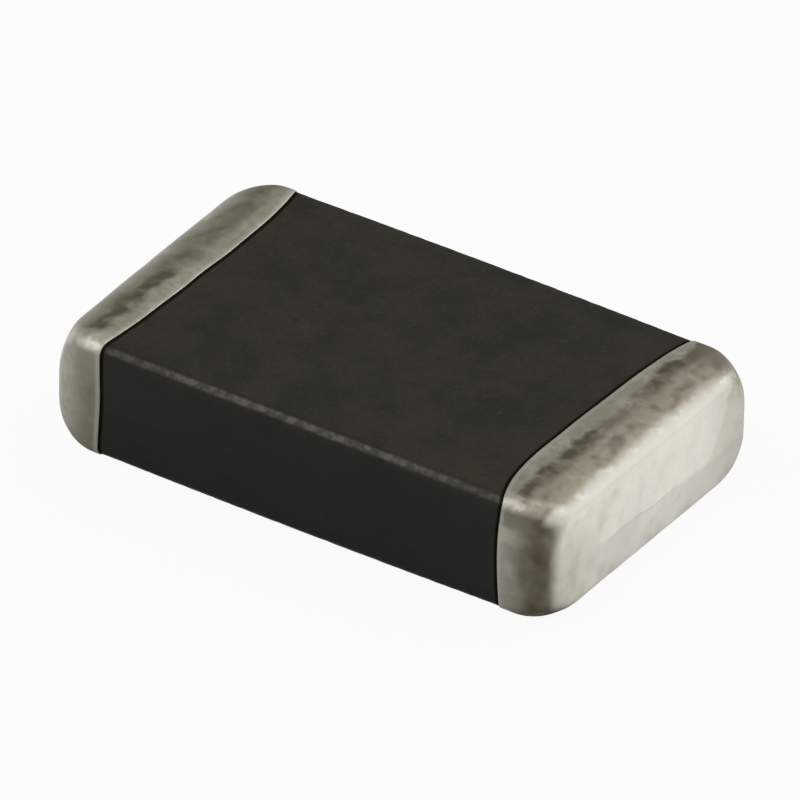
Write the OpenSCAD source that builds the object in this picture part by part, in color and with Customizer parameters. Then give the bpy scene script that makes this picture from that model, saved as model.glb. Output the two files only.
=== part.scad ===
// Multilayer chip varistor for surface mounting.
// A sintered zinc oxide block holds thin printed electrodes, which run out to its left and
// right ends by turns. Each end is dipped in silver, which is fired on and joins the
// electrodes there, and then plated with a nickel barrier and a solderable tin finish.
// X runs along the chip, Y across it, Z up. The origin is under its middle, where it rests.

/* [Chip] */
// Length of the finished chip over both terminations
chip_length = 8.2; // [6:0.1:12]
// Width of the finished chip
chip_width = 4.9; // [3:0.1:8]
// Thickness of the finished chip
chip_thickness = 1.85; // [1.6:0.05:3]

/* [Ceramic block] */
// Radius of the four long edges
long_edge_radius = 0.16; // [0.05:0.01:0.3]
// How far the rounding of an end reaches along the block
end_round_length = 0.6; // [0.2:0.05:0.6]
// How far the rounding of an end comes in from each side
end_round_width = 0.15; // [0.08:0.01:0.4]
// How far the rounding of an end comes in from the top and from the bottom
end_round_height = 0.16; // [0.08:0.01:0.3]
// Corner radius of the flat that is left in the middle of an end
end_flat_corner = 0.56; // [0.1:0.02:0.7]

/* [Inner electrodes] */
// Number of printed electrodes
electrode_count = 10; // [2:1:10]
// Distance from one electrode to the next
electrode_pitch = 0.1; // [0.03:0.01:0.1]
// Thickness of one electrode
electrode_thickness = 0.005; // [0.003:0.001:0.01]
// Ceramic between the long edge of an electrode and the side of the block
electrode_side_margin = 0.5; // [0.2:0.05:1]
// Ceramic between the free end of an electrode and the end of the block
electrode_end_margin = 0.6; // [0.2:0.05:1.5]

/* [Termination layers] */
// Thickness of the fired silver on the flat sides
silver_side = 0.02; // [0.012:0.002:0.05]
// Thickness of the fired silver in the middle of an end
silver_end = 0.08; // [0.03:0.01:0.09]
// Thickness of the fired silver at its rim
silver_rim = 0.008; // [0.004:0.001:0.01]
// Length over which the silver thins down to its rim
rim_taper = 0.06; // [0.02:0.01:0.1]
// Thickness of the nickel barrier
nickel_thickness = 0.003; // [0.002:0.001:0.006]
// Thickness of the tin finish
tin_thickness = 0.006; // [0.004:0.001:0.012]

/* [Left band] */
// Length of the left band at the corners of the chip
left_corner_band = 0.8; // [0.78:0.01:1.5]
// How much further the left band reaches in the middle of the top and the bottom
left_top_bulge = 0.12; // [0:0.01:0.4]
// How much more of that bulge lies towards the back
left_top_skew = 0.05; // [-0.2:0.01:0.2]
// How much further the left band reaches in the middle of each side
left_side_bulge = 0.01; // [0:0.01:0.2]

/* [Right band] */
// Length of the right band at the corners of the chip
right_corner_band = 0.9; // [0.78:0.01:1.5]
// How much further the right band reaches in the middle of the top and the bottom
right_top_bulge = 0.23; // [0:0.01:0.4]
// How much more of that bulge lies towards the back
right_top_skew = -0.08; // [-0.2:0.01:0.2]
// How much further the right band reaches in the middle of each side
right_side_bulge = 0.06; // [0:0.01:0.2]

/* [Hidden] */
electrodes = [for (i = [1:electrode_count]) str("inner_electrode_", i < 10 ? "0" : "", i)];
layer_names = ["silver_base", "nickel_barrier", "tin_finish"];
layers = [for (name = layer_names) each [str(name, "_left"), str(name, "_right")]];

// The surfaces that lie on each other, from the block outwards
BLOCK = 0;
SILVER = 1;
NICKEL = 2;
TIN = 3;
// Metal that has been plated onto the silver below each surface
plated = [0, 0, nickel_thickness, nickel_thickness + tin_thickness];

// Half sizes of the ceramic block, which is what the terminations leave
half_length = chip_length / 2 - silver_end - plated[TIN];
half_width = chip_width / 2 - silver_side - plated[TIN];
half_height = chip_thickness / 2 - silver_side - plated[TIN];
// Corner radius of an end's flat, which leaves a straight piece between two corners
flat_corner = min(end_flat_corner, 0.95 * (half_height - end_round_height));

// Band of each end: corner length, top bulge, its skew towards the back, and side bulge
left_band = [left_corner_band, left_top_bulge, left_top_skew, left_side_bulge];
right_band = [right_corner_band, right_top_bulge, right_top_skew, right_side_bulge];
// How flat the middle of a bulge is
bulge_power = 4;

// Facets round one long edge, across the top, down a side and along the rounding of an end
edge_steps = 3;
top_steps = 10;
side_steps = 3;
round_steps = 4;
// Size of the ring that divides the flat of an end, as a share of the flat
flat_ring = 0.6;

// The stations round a section, from the right-hand side over the top and back.
// Each is [share of the width, share of the height, angle of the surface there].
corner_signs = [[1, 1], [-1, 1], [-1, -1], [1, -1]];
flat_steps = [top_steps, side_steps, top_steps, side_steps];
stations = [
    for (q = [0:3])
        let (here = corner_signs[q], next = corner_signs[(q + 1) % 4])
        each concat(
            [for (k = [0:edge_steps]) [here[0], here[1], 90 * (q + k / edge_steps)]],
            [for (k = [1:flat_steps[q] - 1])
                let (p = here + (next - here) * k / flat_steps[q])
                [p[0], p[1], 90 * (q + 1)]]
        )
];

// Section of the block where its surface has turned by an angle from the side to the end:
// half width, half height and corner radius
function section(turn) = [
    half_width - end_round_width * (1 - cos(turn)),
    half_height - end_round_height * (1 - cos(turn)),
    long_edge_radius + (flat_corner - long_edge_radius) * pow(sin(turn), 2)
];

// The point of a section at one station, as [y, z]
function on_section(s, station) = [
    station[0] * (s[0] - s[2]) + s[2] * cos(station[2]),
    station[1] * (s[1] - s[2]) + s[2] * sin(station[2])
];

// Share that is left of a size at a point, from 1 in the middle to 0 at the side
function dome(ratio, power = 2) = 1 - pow(abs(ratio), power);

// Metal between the block and a surface, thickest in the middle of the end
function cover(layer, turn, p) = layer == BLOCK ? 0 :
    silver_side + plated[layer] + (silver_end - silver_side) * sin(turn)
        * dome(p[0] / half_width) * dome(p[1] / half_height);

// Length of a band at a point of its rim
function band_length(band, p) =
    let (across = p[0] / half_width)
    band[0] + band[1] * dome(across, bulge_power) + band[2] * across * dome(across)
        + band[3] * dome(p[1] / half_height);

// Ring of a surface on the rounding of the right-hand end, or on its flat when shrunk
function end_ring(layer, turn, share = 1) =
    let (s = section(turn), x = half_length - end_round_length * (1 - sin(turn)))
    [for (station = stations)
        let (
            p = share * on_section(s, station),
            lift = cover(layer, turn, p),
            out = lift * cos(turn)
        )
        [x + lift * sin(turn), p[0] + out * cos(station[2]), p[1] + out * sin(station[2])]];

// Ring of a layer along its band, at a distance from its rim and a height over the block
function band_ring(layer, band, from_rim, height) =
    [for (station = stations)
        let (p = on_section(section(0), station))
        [
            chip_length / 2 - band_length(band, p) + plated[TIN] - plated[layer] + from_rim,
            p[0] + height * cos(station[2]),
            p[1] + height * sin(station[2])
        ]];

// The rings of a surface at the right-hand end, from its rim to the middle of the end
function rings_of(layer, band) = concat(
    layer == BLOCK ? [] : [
        band_ring(layer, band, 0, 0),
        band_ring(layer, band, 0, silver_rim + plated[layer]),
        band_ring(layer, band, rim_taper + plated[layer], silver_side + plated[layer])
    ],
    [for (k = [0:round_steps]) end_ring(layer, 90 * k / round_steps)],
    [end_ring(layer, 90, flat_ring)]
);

// Middle of the end of a surface
function pole_of(layer) = [half_length + cover(layer, 90, [0, 0]), 0, 0];

function reversed(list) = [for (i = [len(list) - 1:-1:0]) list[i]];

function mirrored(p) = [-p[0], p[1], p[2]];

// A quad of points as two triangles, cut along its shorter diagonal
function cut_quad(points, a, b, c, d) =
    norm(points[a] - points[c]) < norm(points[b] - points[d])
        ? [[a, d, c], [a, c, b]]
        : [[b, a, d], [b, d, c]];

// Closed skin over rings of points, with one point at each end
module skin(first, rings, last) {
    n = len(rings[0]);
    points = concat([first], [for (ring = rings) each ring], [last]);
    end = len(points) - 1;
    last_ring = len(rings) - 1;
    faces = concat(
        [for (j = [0:n - 1]) [0, 1 + j, 1 + (j + 1) % n]],
        [for (i = [0:last_ring - 1], j = [0:n - 1])
            let (a = 1 + i * n + j, b = 1 + i * n + (j + 1) % n)
            each cut_quad(points, a, b, b + n, a + n)],
        [for (j = [0:n - 1]) [end, 1 + last_ring * n + (j + 1) % n, 1 + last_ring * n + j]]
    );
    polyhedron(points, faces);
}

// The tumbled ceramic block before anything is taken out of it
module block() {
    right = rings_of(BLOCK, right_band);
    left = [for (ring = reversed(right)) [for (p = ring) mirrored(p)]];
    skin(mirrored(pole_of(BLOCK)), concat(left, right), pole_of(BLOCK));
}

// Space of one electrode, running out past the end that it reaches
module electrode_space(i) {
    free_end = half_length - electrode_end_margin;
    reach = half_length + chip_length / 2;
    width = 2 * (half_width - electrode_side_margin);
    height = (i - (electrode_count - 1) / 2) * electrode_pitch;
    mirror([i % 2, 0, 0])
        translate([free_end - reach, -width / 2, height - electrode_thickness / 2])
            cube([reach, width, electrode_thickness]);
}

// Sintered zinc oxide block, closed round its electrodes
module ceramic_body() {
    color("#34332d")
        difference() {
            block();
            for (i = [0:electrode_count - 1])
                electrode_space(i);
        }
}

// Printed silver-palladium electrode
module inner_electrode(i) {
    color("#c8c4ba")
        intersection() {
            block();
            electrode_space(i);
        }
}

// One layer of a termination, closed between the surface below it and its own
module cap_layer(layer, band) {
    below = rings_of(layer - 1, band);
    skin(pole_of(layer - 1), concat(reversed(below), rings_of(layer, band)), pole_of(layer));
}

// Fired silver that joins the electrodes at one end
module silver_base(band) {
    color("#d9d7d0") cap_layer(SILVER, band);
}

// Nickel that keeps solder off the silver
module nickel_barrier(band) {
    color("#a39c8c") cap_layer(NICKEL, band);
}

// Tin that is soldered to
module tin_finish(band) {
    color("#c4bfb2") cap_layer(TIN, band);
}

// Lifts a piece so that the chip stands on its terminations
module stand() {
    translate([0, 0, chip_thickness / 2]) children();
}

stand() ceramic_body();
for (i = [0:electrode_count - 1])
    stand() inner_electrode(i);
stand() mirror([1, 0, 0]) silver_base(left_band);  // silver_base_left
stand() silver_base(right_band);  // silver_base_right
stand() mirror([1, 0, 0]) nickel_barrier(left_band);  // nickel_barrier_left
stand() nickel_barrier(right_band);  // nickel_barrier_right
stand() mirror([1, 0, 0]) tin_finish(left_band);  // tin_finish_left
stand() tin_finish(right_band);  // tin_finish_right
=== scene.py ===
import bpy
import numpy as np
from mathutils import Matrix, Vector
from mathutils.geometry import delaunay_2d_cdt


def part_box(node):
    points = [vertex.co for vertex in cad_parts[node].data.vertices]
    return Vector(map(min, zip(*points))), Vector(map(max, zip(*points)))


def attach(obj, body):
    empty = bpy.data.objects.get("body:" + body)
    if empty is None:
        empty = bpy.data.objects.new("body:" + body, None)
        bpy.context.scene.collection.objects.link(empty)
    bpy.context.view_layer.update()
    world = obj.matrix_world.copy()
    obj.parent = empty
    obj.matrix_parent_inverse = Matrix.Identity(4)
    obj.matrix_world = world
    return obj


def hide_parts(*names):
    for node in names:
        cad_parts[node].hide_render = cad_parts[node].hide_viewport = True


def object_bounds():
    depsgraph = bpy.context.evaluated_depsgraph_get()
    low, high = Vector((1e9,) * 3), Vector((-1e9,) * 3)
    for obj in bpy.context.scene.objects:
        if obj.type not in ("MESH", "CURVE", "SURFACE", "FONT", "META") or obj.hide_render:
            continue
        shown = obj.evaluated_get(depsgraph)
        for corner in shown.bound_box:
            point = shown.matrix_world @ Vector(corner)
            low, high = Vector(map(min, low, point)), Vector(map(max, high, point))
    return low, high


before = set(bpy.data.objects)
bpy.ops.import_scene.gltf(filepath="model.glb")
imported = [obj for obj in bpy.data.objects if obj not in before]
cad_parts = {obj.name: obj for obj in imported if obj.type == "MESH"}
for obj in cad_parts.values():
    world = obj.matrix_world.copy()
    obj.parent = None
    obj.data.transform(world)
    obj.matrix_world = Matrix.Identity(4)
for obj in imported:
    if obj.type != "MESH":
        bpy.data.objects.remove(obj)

cad_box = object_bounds()

# Camera. The photograph looks down on the chip from the front right through a very long lens,
# so that parallel edges stay almost parallel. The picture is taken to be 800 pixels wide.
mm = 0.001
camera_azimuth = np.radians(32.539)
camera_elevation = np.radians(33.385)
camera_roll = np.radians(1.450)
camera_distance = 410 * mm
film_width = 36
picture_size = 800
chip_length_in_picture = 605.90
chip_middle_in_picture = (401.10, 399.13)

back = Vector((
    np.sin(camera_azimuth) * np.cos(camera_elevation),
    -np.cos(camera_azimuth) * np.cos(camera_elevation),
    np.sin(camera_elevation),
))
level_right = Vector((np.cos(camera_azimuth), np.sin(camera_azimuth), 0))
level_up = back.cross(level_right)
right = level_right * np.cos(camera_roll) + level_up * np.sin(camera_roll)
up = level_up * np.cos(camera_roll) - level_right * np.sin(camera_roll)

chip_middle = (cad_box[0] + cad_box[1]) / 2
pixels_per_metre = chip_length_in_picture / (cad_box[1][0] - cad_box[0][0])
aim = (
    chip_middle
    - right * (chip_middle_in_picture[0] - picture_size / 2) / pixels_per_metre
    + up * (chip_middle_in_picture[1] - picture_size / 2) / pixels_per_metre
)
camera_data = bpy.data.cameras.new("camera")
camera_data.sensor_width = film_width
camera_data.lens = camera_distance * pixels_per_metre * film_width / picture_size
camera_data.clip_start = 10 * mm
camera_data.clip_end = 2000 * mm
camera = bpy.data.objects.new("camera", camera_data)
camera.matrix_world = Matrix.Translation(aim + back * camera_distance) @ Matrix(
    (right, up, back)
).transposed().to_4x4()
bpy.context.scene.collection.objects.link(camera)
bpy.context.scene.camera = camera
bpy.context.scene.view_settings.view_transform = "Standard"


# Floor and studio. The chip lies on a pale sheet in a light tent. The main window of light is
# at the back right, and smaller ones hang over the front left and beside the camera, which
# sees the tent as white.
class Shade:
    """A socket of a node tree. Sums, differences and products of sockets add Math nodes."""

    def __init__(self, tree, socket=None):
        self.tree = tree
        self.socket = socket

    def node(self, kind, settings=None, inputs=None, output=0):
        """Adds a node: its settings first, then the values or links of its sockets. Returns
        the output that is asked for."""
        made = self.tree.nodes.new(kind)
        for name, value in (settings or {}).items():
            setattr(made, name, value)
        for name, value in (inputs or {}).items():
            if isinstance(value, Shade):
                self.tree.links.new(value.socket, made.inputs[name])
            else:
                made.inputs[name].default_value = value
        return Shade(self.tree, made.outputs[output] if len(made.outputs) else None)

    def maths(self, operation, *values):
        """A Math node over the values given."""
        return self.node("ShaderNodeMath", {"operation": operation}, dict(enumerate(values)))

    def __add__(self, other):
        return self.maths("ADD", self, other)

    __radd__ = __add__

    def __sub__(self, other):
        return self.maths("SUBTRACT", self, other)

    def __rsub__(self, other):
        return self.maths("SUBTRACT", other, self)

    def __mul__(self, other):
        return self.maths("MULTIPLY", self, other)

    __rmul__ = __mul__

    def step(self, low, high):
        """0 below low, 1 above high and a smooth rise between them."""
        settings = {"interpolation_type": "SMOOTHSTEP"}
        inputs = {"Value": self, "From Min": low, "From Max": high}
        return self.node("ShaderNodeMapRange", settings, inputs)

    def between(self, low, full, fade, high):
        """A smooth rise from 0 at low to 1 at full, and a smooth fall from fade to high."""
        return self.step(low, full) * (1 - self.step(fade, high))

    def mix(self, low, high):
        """The colour low where this is 0 and high where it is 1. A Mix node takes its colours
        in the sockets 6 and 7, and its output 2 is the mixed colour."""
        inputs = {0: self}
        for index, colour in ((6, low), (7, high)):
            inputs[index] = colour if isinstance(colour, Shade) else (*colour, 1)
        return self.node("ShaderNodeMix", {"data_type": "RGBA"}, inputs, 2)

    def noise(self, size, detail=3.0, roughness=0.5):
        """Noise over these coordinates, with blotches of that size in metres."""
        inputs = {"Vector": self, "Scale": 1 / size, "Detail": detail, "Roughness": roughness}
        return self.node("ShaderNodeTexNoise", inputs=inputs)

    def axis(self, letter):
        """One axis of these coordinates, in millimetres."""
        metres = self.node("ShaderNodeSeparateXYZ", inputs={"Vector": self}, output=letter)
        return metres * (1 / mm)

    def attribute(self, name):
        """A value that the points of the piece carry."""
        return self.node("ShaderNodeAttribute", {"attribute_name": name}, output="Fac")


def new_material(name):
    """An empty material, and the Object coordinates that its nodes begin with."""
    material = bpy.data.materials.new(name)
    material.use_nodes = True
    material.node_tree.nodes.clear()
    return material, Shade(material.node_tree).node("ShaderNodeTexCoord", output="Object")


# The camera sees the sheet nearly white. Metal does so only in a painted pool of light beyond
# the right-hand end, where the sheet glows for glossy rays. It begins over pool_edge, in
# millimetres. From below the sheet is clear.
floor_size = 600 * mm
floor_colour = (0.80, 0.80, 0.79)
fibre_colour = [0.97 * value for value in floor_colour]
fibre_size = 0.67 * mm
white = (1.0, 1.0, 1.0, 1.0)
white_share = 0.93
pool_share = 0.70
pool_edge = (3.9, 4.4)

floor_paper, here = new_material("floor_paper")
paper = here.node("ShaderNodeBsdfDiffuse", inputs={
    "Color": here.noise(fibre_size, 4.0).mix(fibre_colour, floor_colour),
})
glow = here.node("ShaderNodeEmission", inputs={"Color": white, "Strength": 1.0})
to_camera = here.node("ShaderNodeLightPath", output="Is Camera Ray")
to_metal = here.node("ShaderNodeLightPath", output="Is Glossy Ray")
# Glossy rays see the sheet glow white beyond pool_edge: a painted pool of light.
share = to_camera * white_share + to_metal * here.axis("X").step(*pool_edge) * pool_share
seen = here.node("ShaderNodeMixShader", inputs={0: share, 1: paper, 2: glow})
below = here.node("ShaderNodeNewGeometry", output="Backfacing")
clear = here.node("ShaderNodeBsdfTransparent")
seen = here.node("ShaderNodeMixShader", inputs={0: below, 1: seen, 2: clear})
here.node("ShaderNodeOutputMaterial", inputs={"Surface": seen})

floor_corners = np.array([(-1, -1, 0), (1, -1, 0), (1, 1, 0), (-1, 1, 0)]) * floor_size / 2
floor_mesh = bpy.data.meshes.new("floor")
floor_mesh.from_pydata(floor_corners, [], [(0, 1, 2, 3)])
floor_mesh.materials.append(floor_paper)
floor = bpy.data.objects.new("floor", floor_mesh)
bpy.context.scene.collection.objects.link(floor)

fill_level = 0.35
world = bpy.data.worlds.new("light_tent")
world.use_nodes = True
world.node_tree.nodes.clear()
shade = Shade(world.node_tree)
to_camera = shade.node("ShaderNodeLightPath", output="Is Camera Ray")
tent = shade.node("ShaderNodeBackground", inputs={
    "Color": white, "Strength": fill_level + (1 - fill_level) * to_camera,
})
shade.node("ShaderNodeOutputWorld", inputs={"Surface": tent})
bpy.context.scene.world = world


def window(name, direction, distance, size, level):
    """A square area lamp that faces the chip. Its level is what it would add to a white
    surface that faces it: power = level * pi^2 * distance^2."""
    lamp = bpy.data.lights.new(name, "AREA")
    lamp.size = size
    lamp.energy = level * np.pi**2 * distance**2
    lamp_object = bpy.data.objects.new(name, lamp)
    towards = Vector(direction).normalized()
    lamp_object.location = chip_middle + towards * distance
    lamp_object.rotation_mode = "QUATERNION"
    lamp_object.rotation_quaternion = towards.to_track_quat("Z", "Y")
    bpy.context.scene.collection.objects.link(lamp_object)


window("back_right_window", (0.55, 0.75, 0.72), distance=0.22, size=0.34, level=0.65)
window("front_left_window", (-0.50, -0.50, 0.72), distance=0.14, size=0.09, level=0.22)
window("camera_side_window", (0.32, -0.59, 0.735), distance=0.45, size=0.30, level=0.12)


# Ceramic block. Zinc oxide with bismuth and manganese oxides, pressed from layers, cut,
# tumbled so that its edges are round, and sintered to a matt olive black.
block_low, block_high = (np.array(corner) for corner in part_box("ceramic_body"))
block_middle_height = (block_low[2] + block_high[2]) / 2
half_length, half_width, half_height = (block_high - block_low) / 2
long_edge_radius = 0.16 * mm
end_round_length = 0.60 * mm
end_round_width = 0.15 * mm
end_round_height = 0.18 * mm
end_flat_corner = 0.56 * mm
side_bow = 0.012 * mm
bowed_half_length = 3.0 * mm
edge_wear = 0.004 * mm
worn_half_length = bowed_half_length + 0.3 * mm
wear_fade = 0.5 * mm
long_dent = 0.22 * mm
short_dent = 0.09 * mm

electrode_count = 10
electrode_pitch = 0.1 * mm
electrode_thickness = 0.005 * mm
electrode_side_margin = 0.5 * mm
electrode_end_margin = 0.6 * mm

dark_olive = (0.0110, 0.0104, 0.0040)
light_olive = (0.0225, 0.0205, 0.0098)
speck_colour = (0.032, 0.029, 0.016)
pit_colour = (0.0110, 0.0102, 0.0055)
side_shade_colour = (0.0058, 0.0063, 0.0030)
rubbed_and_highlight_colour = (0.125, 0.116, 0.095)
shade_line_colour = (0.004, 0.004, 0.001, 1.0)


def walk_round(edge_steps, top_steps, side_steps):
    """Stations round a section, from the back edge over the top to the front and back below.
    Each has a share of the width, a share of the height and the angle of the surface:
    round an edge the shares stay and the angle turns, on a flat the other way about."""
    corners = np.array([(1, 1), (-1, 1), (-1, -1), (1, -1)], float)
    rows = []
    for quarter, steps in enumerate((top_steps, side_steps, top_steps, side_steps)):
        here = corners[quarter]
        there = corners[(quarter + 1) % 4]
        arc = quarter + np.arange(edge_steps + 1) / edge_steps
        rows.append(np.column_stack([np.tile(here, (len(arc), 1)), arc * np.pi / 2]))
        flat = here + (there - here) * np.arange(1, steps)[:, None] / steps
        rows.append(np.column_stack([flat, np.full(len(flat), (quarter + 1) * np.pi / 2)]))
    return np.concatenate(rows).T


stations = walk_round(edge_steps=8, top_steps=96, side_steps=34)
station_angle = stations[2]
around = len(station_angle)


def ripples(points, size, seed, waves=28):
    """Smooth uneven field, mostly from -1 to 1: the sum of sin(wave . point + phase) over
    waves in drawn directions, divided by the root of their number. Their lengths are 0.7 to
    1.5 times the size given."""
    draw = np.random.default_rng(seed)
    heading = draw.normal(size=(waves, 3))
    heading /= np.linalg.norm(heading, axis=1)[:, None]
    heading *= 2 * np.pi / (size * draw.uniform(0.7, 1.5, (waves, 1)))
    return np.sin(points @ heading.T + draw.uniform(0, 2 * np.pi, waves)).sum(-1) / waves**0.5


def block_surface(place, turn, share):
    """Grid of points on the block, one row for each ring, and the outward direction at each.
    A ring is a rounded rectangle at a place along the chip, and goes through the stations.
    Its half sizes shrink by (1 - cos(turn)) of the end rounding, its corner radius grows by
    sin(turn)^2, and on the flat of an end the ring is scaled by its share. The sides bow out
    by side_bow * (1 - (place / bowed_half_length)^2)."""
    across, high, angle = stations
    place, turn, share = (np.asarray(values, float)[:, None] for values in (place, turn, share))
    inset = 1 - np.cos(turn)
    bow = side_bow * np.clip(1 - (place / bowed_half_length) ** 2, 0, None)
    radius = long_edge_radius + (end_flat_corner - long_edge_radius) * np.sin(turn) ** 2
    y = across * (half_width + bow - end_round_width * inset - radius) + radius * np.cos(angle)
    z = high * (half_height + bow - end_round_height * inset - radius) + radius * np.sin(angle)
    x = np.broadcast_to(place, y.shape)
    outward = np.stack(
        [np.sin(turn) + 0 * y, np.cos(turn) * np.cos(angle), np.cos(turn) * np.sin(angle)], -1
    )
    return np.stack([x, share * y, share * z], -1), outward


def end_rings(round_steps, flat_steps):
    """Place, turn and share of the rings on the right-hand end: turns of 0 to 90 degrees round
    an ellipse, at the place half_length - end_round_length * (1 - sin(turn)), then shares of
    the flat down towards its middle."""
    turn = np.pi / 2 * np.arange(round_steps + 1) / round_steps
    turn = np.concatenate([turn, np.full(flat_steps - 1, np.pi / 2)])
    share = np.concatenate([np.ones(round_steps), 1 - np.arange(flat_steps) / flat_steps])
    return half_length - end_round_length * (1 - np.sin(turn)), turn, share


def new_piece(name, points, polygons, material, nodes):
    """A smooth closed mesh in the frame, from points about the middle of the block and from
    polygons given as rows of corner numbers. It rides on the chip and replaces those nodes."""
    mesh = bpy.data.meshes.new(name)
    sizes = np.concatenate([np.full(len(rows), rows.shape[1]) for rows in polygons])
    corners = np.concatenate([rows.ravel() for rows in polygons])
    mesh.vertices.add(len(points))
    mesh.vertices.foreach_set("co", (points + (0, 0, block_middle_height)).ravel())
    mesh.loops.add(len(corners))
    mesh.loops.foreach_set("vertex_index", corners.astype(np.int32))
    mesh.polygons.add(len(sizes))
    starts = np.concatenate([[0], np.cumsum(sizes)[:-1]])
    mesh.polygons.foreach_set("loop_start", starts.astype(np.int32))
    mesh.update(calc_edges=True)
    mesh.shade_smooth()
    mesh.materials.append(material)
    piece = bpy.data.objects.new(name, mesh)
    bpy.context.scene.collection.objects.link(piece)
    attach(piece, "root")
    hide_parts(*nodes)
    return piece


def carry_values(piece, name, values):
    """Gives each point of a piece a value that its material can read."""
    layer = piece.data.attributes.new(name, "FLOAT", "POINT")
    layer.data.foreach_set("value", values.astype(np.float32))


def ring_quads(count, first):
    """Quads between rings of points that are numbered ring by ring from first, turned
    outwards where each ring lies beyond the last along X."""
    ring, step = np.mgrid[0:count - 1, 0:around]
    a = first + ring * around + step
    b = first + ring * around + (step + 1) % around
    return np.stack([a, b, b + around, a + around], -1).reshape(-1, 4)


def slotted_end(ring_points, side, slots, bottom):
    """Flat of one end, with side 1 for the right-hand one and -1 for the left-hand one, and a
    pocket for each electrode that reaches it. The flat is filled between its ring and the
    mouths of the pockets, whose walls run in to the bottom. A slot is half a width, the height
    of its middle and half a thickness."""
    mouths = np.array([
        [(-half, level - thin), (half, level - thin), (half, level + thin), (-half, level + thin)]
        for half, level, thin in slots
    ]).reshape(-1, 2)
    flat = np.concatenate([ring_points[:, 1:], mouths]) / mm
    borders = [(spot, (spot + 1) % around) for spot in range(around)]
    for first in range(around, len(flat), 4):
        borders += [(first + corner, first + (corner + 1) % 4) for corner in range(4)]
    fill_inside, same_place = 1, 1e-7
    filled = delaunay_2d_cdt([Vector(spot) for spot in flat], borders, [], fill_inside, same_place)
    triangles = np.array(filled[2])
    middle = flat[triangles].mean(1) * mm
    for half, level, thin in slots:
        keep = (np.abs(middle[:, 0]) > half) | (np.abs(middle[:, 1] - level) > thin)
        triangles, middle = triangles[keep], middle[keep]
    mouth_points = np.column_stack([np.full(len(mouths), side * half_length), mouths])
    bottom_points = mouth_points * (0, 1, 1) + (side * bottom, 0, 0)
    mouth = np.arange(len(mouths)).reshape(-1, 4)
    floor_of_pocket = mouth + len(mouths)
    walls = np.stack([
        mouth, np.roll(mouth, -1, 1), np.roll(floor_of_pocket, -1, 1), floor_of_pocket,
    ], -1).reshape(-1, 4)
    return triangles, mouth_points, bottom_points, np.concatenate([walls, floor_of_pocket])


# The long edges are worn in small dents, which fade out towards the caps.
body_steps = 170
place, turn, share = end_rings(round_steps=36, flat_steps=1)
straight = np.linspace(-place[0], place[0], body_steps + 1)[1:-1]
place = np.concatenate([-place[::-1], straight, place])
turn = np.concatenate([turn[::-1], 0 * straight, turn])
block_points, outward = block_surface(place, turn, np.ones(len(place)))
outward[: len(place) // 2, :, 0] *= -1
on_edge = 1 - np.abs(np.cos(2 * station_angle)) ** 2
worn = ripples(block_points, long_dent, seed=11) + 0.6 * ripples(block_points, short_dent, seed=12)
bare = np.clip((worn_half_length - np.abs(block_points[..., 0])) / wear_fade, 0, 1)
depth = edge_wear * bare * on_edge * np.clip(0.35 + 0.5 * worn, 0, 1)
block_points = block_points - outward * depth[..., None]

# Electrodes 2, 4 and so on reach the right-hand end, and the others the left-hand one.
polygons = [ring_quads(len(place), 0)]
all_points = [block_points.reshape(-1, 3)]
total = len(place) * around
slot_half_width = half_width - electrode_side_margin
pocket_bottom = electrode_end_margin - half_length
for side, ring, first_reaching in ((1, len(place) - 1, 1), (-1, 0, 0)):
    slots = [
        (
            slot_half_width,
            (number - (electrode_count - 1) / 2) * electrode_pitch,
            electrode_thickness / 2,
        )
        for number in range(first_reaching, electrode_count, 2)
    ]
    triangles, mouth_points, bottom_points, walls = slotted_end(
        block_points[ring], side, slots, pocket_bottom
    )
    numbers = np.concatenate([
        ring * around + np.arange(around), total + np.arange(len(mouth_points))
    ])
    triangles = numbers[triangles]
    walls = walls + total
    if side == -1:
        triangles = triangles[:, ::-1]
        walls = walls[:, ::-1]
    polygons += [triangles, walls]
    all_points += [mouth_points, bottom_points]
    total += len(mouth_points) + len(bottom_points)

# The top is clouded and specked, and the sides are painted darker, as shade. The long edges are
# rubbed pale in flecks, most of all in their middle: partly wear and partly a painted highlight.
# A painted shade runs as a dark line along the caps' rims and the back edges.
ceramic, here = new_material("zinc_oxide_ceramic")
length = here.axis("X")
width = here.axis("Y")
height = here.axis("Z")
edge = here.attribute("edge")
from_rim = here.attribute("from_rim")
clouds = here.noise(0.8 * mm, 6.0, 0.65).step(0.34, 0.66)
speckle = here.noise(0.06 * mm, 4.0, 0.65)
pits = here.noise(0.10 * mm).step(0.58, 0.72)
flecks = here.noise(0.13 * mm, 2.0).step(0.38, 0.62)
grains = here.noise(0.018 * mm, 2.0)

tone = clouds.mix(dark_olive, light_olive)
tone = speckle.step(0.52, 0.75).mix(tone, speck_colour)
tone = pits.mix(tone, pit_colour)
# The sides below the top are painted darker: painted shade.
tone = (0.7 * (1 - height.step(1.62, 1.76))).mix(tone, side_shade_colour)
# Pale flecks on the long edges, most in their middle: partly wear and partly a painted highlight.
middle = length.between(-3.2, -1.4, 1.0, 3.1)
rubbed_and_highlit = edge.step(0.35, 1.0) * (0.35 + 0.65 * flecks) * (0.60 + 0.40 * middle)
tone = rubbed_and_highlit.mix(tone, rubbed_and_highlight_colour)
ceramic_skin = here.node("ShaderNodeBsdfPrincipled", inputs={
    "Base Color": tone,
    "Roughness": 0.52 + 0.14 * speckle,
    "Specular IOR Level": 0.30,
    "Normal": here.node("ShaderNodeBump", inputs={
        "Distance": 0.0016 * mm, "Height": grains + 1.5 * speckle,
    }),
})
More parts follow.
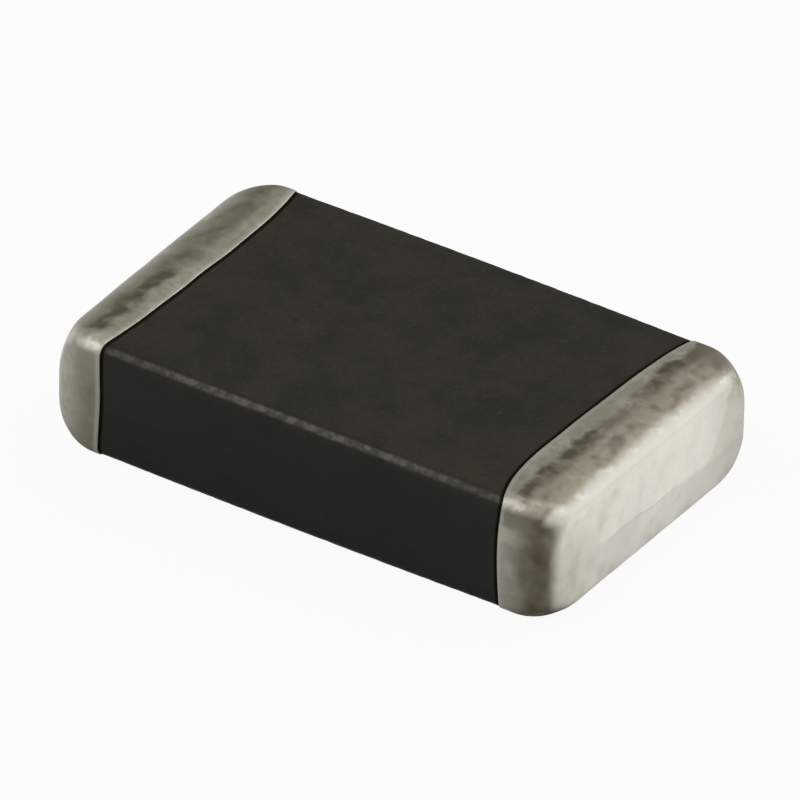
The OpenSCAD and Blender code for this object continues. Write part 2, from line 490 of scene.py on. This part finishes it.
# A dark painted shade along the caps' rims and the back long edges.
shade_by_rim = 1 - (from_rim + 0.016 * speckle).step(0.036, 0.085)
shade_on_back_edge = edge.step(0.10, 0.70) * width.step(2.20, 2.30)
painted_shade = here.node("ShaderNodeBsdfDiffuse", inputs={"Color": shade_line_colour})
ceramic_skin = here.node("ShaderNodeMixShader", inputs={
    0: here.maths("MAXIMUM", 0.90 * shade_by_rim, 0.80 * shade_on_back_edge), 1: ceramic_skin, 2: painted_shade,
})
here.node("ShaderNodeOutputMaterial", inputs={"Surface": ceramic_skin})

block = new_piece(
    "ceramic_block", np.concatenate(all_points), polygons, ceramic,
    ["ceramic_body"],
)
edge_values = np.zeros(total)
edge_values[: len(place) * around] = np.tile(on_edge, len(place))
carry_values(block, "edge", edge_values)


# Inner electrodes. Silver and palladium powder, printed on every layer of the block and fired
# with it. They run out to the left and the right end by turns and are kept as the CAD has them.
electrode_tones = ((0.52, 0.50, 0.46), (0.66, 0.64, 0.60))
electrode_metal, here = new_material("electrode_metal")
mesh_marks = here.noise(0.05 * mm, 2.0)
electrode_skin = here.node("ShaderNodeBsdfPrincipled", inputs={
    "Base Color": mesh_marks.mix(*electrode_tones),
    "Metallic": 1.0,
    "Roughness": 0.35 + 0.2 * mesh_marks,
})
here.node("ShaderNodeOutputMaterial", inputs={"Surface": electrode_skin})
for number in range(1, electrode_count + 1):
    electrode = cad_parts[f"inner_electrode_{number:02d}"]
    electrode.data.materials.clear()
    electrode.data.materials.append(electrode_metal)


# Silver bases. Each end of the block is dipped in silver paste, which is fired on. The paste
# lies thicker in the middle of the end and thins out at its uneven rim.
chip_half_length = cad_box[1][0]
silver_side = 0.02 * mm
silver_end = 0.08 * mm
silver_rim = 0.008 * mm
edge_share = 0.4
nickel_thickness = 0.003 * mm
tin_thickness = 0.006 * mm
left_band = (0.80 * mm, 0.12 * mm, 0.05 * mm, 0.01 * mm)
right_band = (0.90 * mm, 0.23 * mm, -0.08 * mm, 0.06 * mm)
left_seed = 41
right_seed = 31
rim_wobble = 0.008 * mm
wobble_size = 1.1 * mm
lump_depth = 0.005 * mm
lump_size = 0.5 * mm
lump_fade = 0.12 * mm
end_lean = 0.6
lip_steps = 4
rise_steps = 16

# Levels count the surfaces outwards from the block, which is level 0. Up to each of them,
# this much plating lies over the silver.
silver_level, nickel_level, tin_level = 1, 2, 3
plated = (0.0, 0.0, nickel_thickness, nickel_thickness + tin_thickness)


def dome(ratio, power=2):
    """1 in the middle and 0 at the side: 1 - |ratio|^power."""
    return 1 - np.abs(ratio) ** power


def swollen_end(points):
    """Share of the end's extra silver over points of the block: dome(y) * dome(z) *
    (1 + end_lean * (y + z)), divided by its largest value. The dome over y has the power 4 on
    the far half, so the swelling is fuller there."""
    y, z = points[..., 1] / half_width, points[..., 2] / half_height
    share = np.linspace(0, 1, 101)
    up = share[:, None]
    largest = (dome(share, 4) * dome(up) * (1 + end_lean * (share + up))).max()
    return dome(y, np.where(y > 0, 4, 2)) * dome(z) * (1 + end_lean * (y + z)) / largest


def side_silver(turn, angle):
    """Thickness of the silver on the sides. It thins over the long edges: silver_side *
    (1 - (1 - edge_share) * sin(2 * angle)^2 * cos(turn)^2)."""
    return silver_side * (1 - (1 - edge_share) * np.sin(2 * angle) ** 2 * np.cos(turn) ** 2)


def lumps(points, seed):
    """How far the metal lies below its full thickness, in soft lumps: lump_depth *
    (ripples - 1) / 2, with the ripples held to -1 to 1."""
    return lump_depth * (np.clip(ripples(points, lump_size, seed), -1, 1) - 1) / 2


def outer_rim(points, band, seed):
    """How far out along X the rim of the finished cap lies over points of the straight block:
    the end of the chip less corner_length + bulge * dome(y, 4) + skew * y * dome(y) +
    side_bulge * dome(z), and less a wobble. The band holds those four lengths."""
    y, z = points[..., 1] / half_width, points[..., 2] / half_height
    corner_length, bulge, skew, side_bulge = band
    length = corner_length + bulge * dome(y, 4) + skew * y * dome(y) + side_bulge * dome(z)
    wobble = rim_wobble * ripples(points * (0, 1, 1), wobble_size, seed + 1)
    return chip_half_length - length - wobble


def cap_rings(level, band, seed, round_steps, flat_steps):
    """Grid of points on the surface of one metal layer at the right-hand end, from the rim to
    near the pole, and the pole. From its foot on the block the surface rises round a lip, whose
    radius is the rim's thickness, then as sin(90 degrees * share) to the side's thickness where
    the end rounding begins. It follows that rounding and swells towards the middle of the end
    by sin(turn) * swollen_end(y, z), and it is lumpy all over but for the rim."""
    end_place, end_turn, end_share = end_rings(round_steps, flat_steps)
    points, outward = block_surface(end_place, end_turn, end_share)
    middle = np.array([half_length, 0, 0])
    if level == 0:
        return points, middle
    silver = side_silver(end_turn[:, None], station_angle)
    extra = (silver_end - silver_side) * np.sin(end_turn)[:, None] * swollen_end(points)
    thick = silver + plated[level] + extra + lumps(points, seed)
    middle_extra = (silver_end - silver_side) * swollen_end(middle)
    middle_thick = silver_side + plated[level] + middle_extra + lumps(middle, seed)
    pole = middle + (middle_thick, 0, 0)
    points = points + outward * thick[..., None]
    foot, foot_outward = block_surface([end_place[0]], [0], [1])
    rim = outer_rim(foot[0], band, seed) + plated[tin_level] - plated[level]
    lip = silver_rim + plated[level]
    curl = np.pi / 2 * np.arange(lip_steps + 1)[:, None] / lip_steps
    lip_along, lip_high = lip * (1 - np.cos(curl)), lip * np.sin(curl)
    rise = np.arange(1, rise_steps)[:, None] / rise_steps
    full = side_silver(0, station_angle) + plated[level]
    rise_along = lip + (end_place[0] - rim - lip) * rise
    rise_high = lip + (full - lip) * np.sin(rise * np.pi / 2)
    along = rim + np.concatenate([lip_along + 0 * rim, rise_along])
    high = np.concatenate([lip_high + 0 * rim, rise_high])
    fade = np.clip((along - rim) / lump_fade, 0, 1)
    band_points = np.broadcast_to(foot, (len(along), *foot.shape[1:])).copy()
    band_points[..., 0] = along
    band_points += foot_outward * (high + fade * lumps(band_points, seed))[..., None]
    return np.concatenate([band_points, points]), pole


def cap_layer(name, level, side, material, nodes, end_steps):
    """One metal layer as a closed shell, from the pole of the surface below it out to its rim
    and back over its own surface. A left-hand layer is the mirror image, run backwards. The
    end_steps are the rings round the end and over its flat. The points carry how far they lie
    from the rim, in millimetres."""
    band, seed = (right_band, right_seed) if side == 1 else (left_band, left_seed)
    inner, first = cap_rings(level - 1, band, seed, *end_steps)
    outer, last = cap_rings(level, band, seed, *end_steps)
    rings = np.concatenate([inner[::-1], outer])
    if side == -1:
        mirror = (-1, 1, 1)
        rings, first, last = rings[::-1] * mirror, last * mirror, first * mirror
    points = np.concatenate([first[None], rings.reshape(-1, 3), last[None]])
    step = np.arange(around)
    onward = (step + 1) % around
    end = len(points) - 1
    start_fan = np.stack([0 * step, 1 + onward, 1 + step], -1)
    end_fan = np.stack([0 * step + end, end - around + step, end - around + onward], -1)
    polygons = [ring_quads(len(rings), 1), start_fan, end_fan]
    piece = new_piece(name, points, polygons, material, nodes)
    outward_place = rings[..., 0] * side
    beyond_rim = (outward_place - outward_place.min(0)) / mm
    carry_values(piece, "from_rim", np.concatenate([[1], beyond_rim.ravel(), [1]]))


# The block's points carry how far they lie from the nearer rim, for the painted shade along it.
bare_length = np.minimum(
    outer_rim(block_points, right_band, right_seed) - block_points[..., 0],
    outer_rim(block_points, left_band, left_seed) + block_points[..., 0],
)
rim_values = np.ones(total)
rim_values[: bare_length.size] = bare_length.ravel() / mm
carry_values(block, "from_rim", rim_values)


def grained_metal(name, grain_size, tones, roughness):
    """Bare metal with a fine grain, which varies its colour, its roughness and its relief."""
    material, here = new_material(name)
    grain = here.noise(grain_size, 3.0, 0.6)
    skin = here.node("ShaderNodeBsdfPrincipled", inputs={
        "Base Color": grain.mix(*tones),
        "Metallic": 1.0,
        "Roughness": roughness[0] + (roughness[1] - roughness[0]) * grain,
        "Normal": here.node("ShaderNodeBump", inputs={"Distance": 0.001 * mm, "Height": grain}),
    })
    here.node("ShaderNodeOutputMaterial", inputs={"Surface": skin})
    return material


# The hidden layers need fewer rings than the tin.
hidden_steps = (20, 10)
fired_silver = grained_metal(
    "fired_silver", 0.03 * mm, ((0.70, 0.69, 0.65), (0.84, 0.83, 0.79)), (0.40, 0.65)
)
for word, side in (("left", -1), ("right", 1)):
    cap_layer(f"silver_dip_{word}", silver_level, side, fired_silver,
              [f"silver_base_{word}"], hidden_steps)


# Nickel barriers. Plated over the silver, a few thousandths of a millimetre thick, so that
# solder can't dissolve it.
nickel_plating = grained_metal(
    "nickel_plating", 0.02 * mm, ((0.42, 0.39, 0.33), (0.52, 0.49, 0.43)), (0.35, 0.55)
)
for word, side in (("left", -1), ("right", 1)):
    cap_layer(f"nickel_plate_{word}", nickel_level, side, nickel_plating,
              [f"nickel_barrier_{word}"], hidden_steps)


# Tin finishes. Matt tin is plated over the nickel as the surface that takes the solder. It has
# gone brown and grey in stripes across the top and brown in a smear on the sides, and stays pale
# on the end. The sides and parts of the end are painted grey as shade, and highlights are painted
# beside the rim, on the near edge, at the near upper corner of the end and along its bend.
class CapPlaces:
    """Where the points of a cap lie, and the blotches that its tarnish, its painted shade and its
    painted highlights follow. Places are in millimetres: along from the middle of the chip, across
    towards its back and high above the floor. On_top and on_end are 1 on those faces. Their
    borders and those of the patches are shifted by wander, by reach, which has less of it, and by
    leaning, below the top."""

    def __init__(self, here):
        length = here.axis("X")
        self.along = length.maths("ABSOLUTE", length)
        self.across = here.axis("Y")
        self.high = here.axis("Z")
        self.from_rim = here.attribute("from_rim")
        self.coarse = here.noise(0.60 * mm, 2.0, 0.45)
        self.soft = here.noise(0.30 * mm, 1.0, 0.4)
        self.tint = here.noise(0.42 * mm, 1.0, 0.6)
        self.mottle = here.noise(0.11 * mm, 2.0, 0.5)
        self.fine = self.mottle.step(0.40, 0.60)
        self.crystals = here.noise(0.030 * mm, 3.0, 0.6)
        self.blots = here.noise(0.36 * mm, 1.0, 0.6).step(0.44, 0.66)
        self.glints = here.noise(0.26 * mm, 2.0, 0.6).step(0.54, 0.70)
        self.wander = (
            0.26 * (self.coarse - 0.5) + 0.16 * (self.soft - 0.5) + 0.04 * (self.mottle - 0.5)
        )
        self.leaning = 0.13 * self.high.step(1.45, 1.76)
        self.reach = self.along + 0.5 * self.wander + 0.09 * (1 - self.across.step(-2.2, -1.8))
        side_reach = self.along + 0.12 * self.wander + self.leaning
        self.on_top = self.high.step(1.66, 1.80)
        self.on_end = (
            self.on_top * self.reach.step(3.76, 3.95)
            + (1 - self.on_top) * side_reach.step(3.90, 4.03)
        )


def clean_tin(cap):
    """Matt tin in pale warm greys, in blotches of four sizes."""
    tin = cap.coarse.step(0.35, 0.65).mix((0.83, 0.815, 0.74), (0.90, 0.875, 0.80))
    tin = (0.6 * cap.soft.step(0.45, 0.65)).mix(tin, (0.85, 0.81, 0.76))
    tin = (0.5 * cap.tint.step(0.50, 0.65)).mix(tin, (0.79, 0.785, 0.71))
    return (0.4 * cap.mottle.step(0.50, 0.70)).mix(tin, (0.93, 0.90, 0.82))


def shaded_and_stained_end(cap, tin, corner_stain):
    """The end is painted greyer as shade: low down, where a faint painted line runs across it, on
    its near part and on its far part. The bend up to the top is painted a little darker as shade,
    against its highlight. The far upper corner is stained, as strongly as is asked for."""
    across, high = cap.across, cap.high
    level = high + 0.045 * across + 0.10 * (cap.coarse - 0.5)
    low = (1 - level.step(0.72, 0.82)) * (0.30 + 0.70 * across.step(-1.6, -0.9))
    low = low * (1 - 0.40 * across.between(-0.8, -0.2, 0.5, 1.0))
    line = level.between(0.740, 0.760, 0.775, 0.800) * across.between(-1.4, -0.9, 0.2, 0.9)
    near = (1 - across.step(-2.2, -1.3)) * (1 - high.step(1.05, 1.60))
    shoulder = (1 - (across + cap.wander).step(-1.6, -0.7)) * (1 - high.step(1.02, 1.46))
    slope = (high - 1.4 * (across - 1.5) + cap.wander).step(0.85, 1.10)
    rise = across.step(0.9, 1.5) * (1 - slope) * high.step(0.30, 0.75)
    far = across.step(1.0, 2.4) * (0.5 + 1.0 * cap.soft) + 0.7 * rise
    # Painted shade: greyer patches low down, on the near part and on the far part of the end.
    for strength, patch, tone in (
        (0.60, low, (0.62, 0.605, 0.57)),
        (0.25, line, (0.48, 0.45, 0.40)),
        (0.65, near, (0.62, 0.605, 0.53)),
        (0.45, shoulder, (0.62, 0.605, 0.53)),
        (0.45, far, (0.56, 0.54, 0.475)),
    ):
        tin = (strength * cap.on_end * patch).mix(tin, tone)
    # The bend is painted darker as shade, against the highlight it catches.
    bend = cap.along.step(3.82, 3.92) * high.step(1.60, 1.76) * across.step(-2.5, -1.9)
    tin = (0.85 * bend).mix(tin, (0.66, 0.642, 0.575))
    corner = across.step(1.70, 2.20) * high.step(1.15, 1.60) * cap.mottle.step(0.42, 0.56)
    corner = (corner + across.step(1.85, 2.30) * high.step(1.40, 1.62)) * (0.25 + 0.5 * cap.soft)
    return (corner_stain * cap.on_end * corner).mix(tin, (0.36, 0.345, 0.27))


def shaded_and_smeared_sides(cap, tin, tone, smear, smear_tone):
    """The sides are painted in one darker tone as shade, with darker blotches, and have a smear
    of tarnish from top to bottom. The smear is given as where it begins, is full, begins to fade
    and ends along the chip."""
    side_shade = cap.tint.step(0.35, 0.65).mix(tone, [0.86 * value for value in tone])
    side_shade = (0.6 * cap.mottle.step(0.45, 0.65)).mix(side_shade, [0.78 * value for value in tone])
    tin = (0.95 * ((1 - cap.on_top) * (1 - cap.on_end))).mix(tin, side_shade)
    smeared = (cap.along + 0.5 * cap.wander + cap.leaning).between(*smear) * (1 - cap.on_top)
    return (smeared * (0.60 + 0.5 * cap.soft)).mix(tin, smear_tone)


def tarnished_top(cap, tin, corner_stain, stripe, stripe_tone, gap, gap_depth, plateau,
                  plateau_tone, row, row_tone, overhang):
    """The top is a pale brown, with a plateau of spots, a row of blots and a dark stripe, each
    given as where it begins, is full, begins to fade and ends along the chip. The stripe is
    paler over a gap, given likewise across the chip. The tarnish ends short of the near edge,
    but may hang over it towards the end, by overhang. The far corner is brown."""
    across = cap.across
    pale = cap.tint.step(0.38, 0.62).mix((0.42, 0.41, 0.315), (0.54, 0.515, 0.42))
    pale = (0.55 * cap.mottle.step(0.46, 0.62)).mix(pale, (0.36, 0.335, 0.265))
    tin = (cap.on_top * (1 - cap.on_end)).mix(tin, pale)
    warped = cap.along + cap.wander
    inland = (across + cap.wander + overhang * cap.along.step(3.35, 3.60)).step(-2.34, -2.10)
    inland = inland * cap.on_top
    spots = 0.45 + 0.35 * cap.soft.step(0.35, 0.60) + 0.20 * cap.fine
    tin = (inland * warped.between(*plateau) * spots).mix(tin, plateau_tone)
    tin = (inland * warped.between(*row) * cap.blots).mix(tin, row_tone)
    faded = 1 - gap_depth * across.between(*gap)
    patchy = faded * (0.45 + 0.45 * cap.soft.step(0.38, 0.58) + 0.15 * cap.fine)
    tin = (inland * warped.between(*stripe) * patchy).mix(tin, stripe_tone)
    brown = across.step(1.65, 2.20) * (1 - cap.reach.step(3.90, 4.00)) * cap.along.step(3.22, 3.40)
    return (corner_stain * cap.on_top * brown).mix(tin, (0.25, 0.22, 0.17))


def near_band_and_highlight(cap, tin, brow, brow_tone, highlight_end, highlight_tone):
    """The brow is a darker band on the near side below the top, given by its heights. The cream
    patches on the near edge are a painted highlight, and fade out along the chip over the span
    given."""
    band = (cap.high + 0.3 * (cap.soft - 0.5)).between(*brow) * (1 - cap.reach.step(3.70, 3.90))
    tin = (0.70 * band * (1 - cap.across.step(-2.40, -2.20))).mix(tin, brow_tone)
    # Cream patches of painted highlight along the near edge.
    ridge_highlight = (1 - (cap.across + cap.wander).step(-2.38, -2.10)) * cap.high.step(1.66, 1.76)
    ridge_highlight = ridge_highlight * (1 - (cap.along + 2 * cap.wander).step(*highlight_end))
    return (0.80 * ((0.45 + 0.55 * cap.fine) * ridge_highlight)).mix(tin, highlight_tone)


def painted_highlights(cap, tin):
    """Painted highlights: a pale line beside the rim, a bright near upper corner of the end, and
    small glints along the bend above the end."""
    tin = (0.5 * (1 - cap.from_rim.step(0.030, 0.090))).mix(tin, (0.62, 0.61, 0.55))
    corner = 1 - (cap.across + cap.wander).step(-2.30, -1.90)
    corner = corner * cap.reach.between(3.86, 3.98, 4.12, 4.22)
    corner = corner * cap.high.step(1.55, 1.70) * (0.75 + 0.25 * cap.fine)
    glints = 0.40 * (cap.glints * cap.along.between(3.86, 3.92, 3.96, 4.04))
    glints = glints * cap.high.step(1.50, 1.64)
    return (glints + 0.85 * corner).mix(tin, (0.96, 0.92, 0.83))


def tin_skin(name, corner_stain, sides, top, near_edge):
    """Tin with the tarnish of one cap, and its painted shade and painted highlights: how strongly
    its far corner is stained, and what the functions above are told of its sides, its top and its
    near edge."""
    material, here = new_material(name)
    cap = CapPlaces(here)
    tin = shaded_and_stained_end(cap, clean_tin(cap), corner_stain)
    tin = shaded_and_smeared_sides(cap, tin, **sides)
    tin = tarnished_top(cap, tin, corner_stain, **top)
    tin = near_band_and_highlight(cap, tin, **near_edge)
    skin = here.node("ShaderNodeBsdfPrincipled", inputs={
        "Base Color": painted_highlights(cap, tin),
        "Metallic": 1.0,
        "Roughness": 0.46 + 0.14 * cap.mottle,
        "Normal": here.node("ShaderNodeBump", inputs={
            "Distance": 0.0022 * mm, "Height": cap.crystals + 1.5 * cap.mottle + 2.0 * cap.soft,
        }),
    })
    here.node("ShaderNodeOutputMaterial", inputs={"Surface": skin})
    return material


tin_left = tin_skin(
    "tin_plating_left",
    corner_stain=0.25,
    sides=dict(
        # The sides' tone is painted shade.
        tone=(0.58, 0.57, 0.495),
        smear=(3.16, 3.22, 3.40, 3.98), smear_tone=(0.24, 0.23, 0.175),
    ),
    top=dict(
        stripe=(3.39, 3.53, 3.63, 3.80), stripe_tone=(0.165, 0.14, 0.082),
        gap=(-0.5, 0.1, 1.9, 2.4), gap_depth=0.50,
        plateau=(3.22, 3.44, 3.80, 4.10), plateau_tone=(0.42, 0.385, 0.295),
        row=(3.50, 3.62, 3.72, 3.86), row_tone=(0.30, 0.30, 0.215),
        overhang=0.0,
    ),
    near_edge=dict(
        brow=(1.20, 1.45, 1.62, 1.72), brow_tone=(0.36, 0.325, 0.25),
        # Cream patches of painted highlight on the near edge.
        highlight_end=(3.80, 3.98), highlight_tone=(0.84, 0.80, 0.68),
    ),
)
tin_right = tin_skin(
    "tin_plating_right",
    corner_stain=0.85,
    sides=dict(
        # The sides' tone is painted shade.
        tone=(0.555, 0.54, 0.46),
        smear=(3.16, 3.72, 3.90, 4.08), smear_tone=(0.118, 0.092, 0.060),
    ),
    top=dict(
        stripe=(3.22, 3.34, 3.41, 3.57), stripe_tone=(0.155, 0.132, 0.088),
        gap=(-0.5, 0.0, 0.8, 1.2), gap_depth=0.55,
        plateau=(3.22, 3.40, 3.80, 3.98), plateau_tone=(0.42, 0.37, 0.285),
        row=(3.54, 3.66, 3.74, 3.86), row_tone=(0.24, 0.205, 0.155),
        overhang=0.6,
    ),
    near_edge=dict(
        brow=(1.38, 1.50, 1.76, 1.84), brow_tone=(0.27, 0.24, 0.19),
        # Cream patches of painted highlight on the near edge.
        highlight_end=(3.46, 3.74), highlight_tone=(0.70, 0.66, 0.55),
    ),
)
tin_steps = (36, 24)
cap_layer("tin_coat_left", tin_level, -1, tin_left, ["tin_finish_left"], tin_steps)
cap_layer("tin_coat_right", tin_level, 1, tin_right, ["tin_finish_right"], tin_steps)
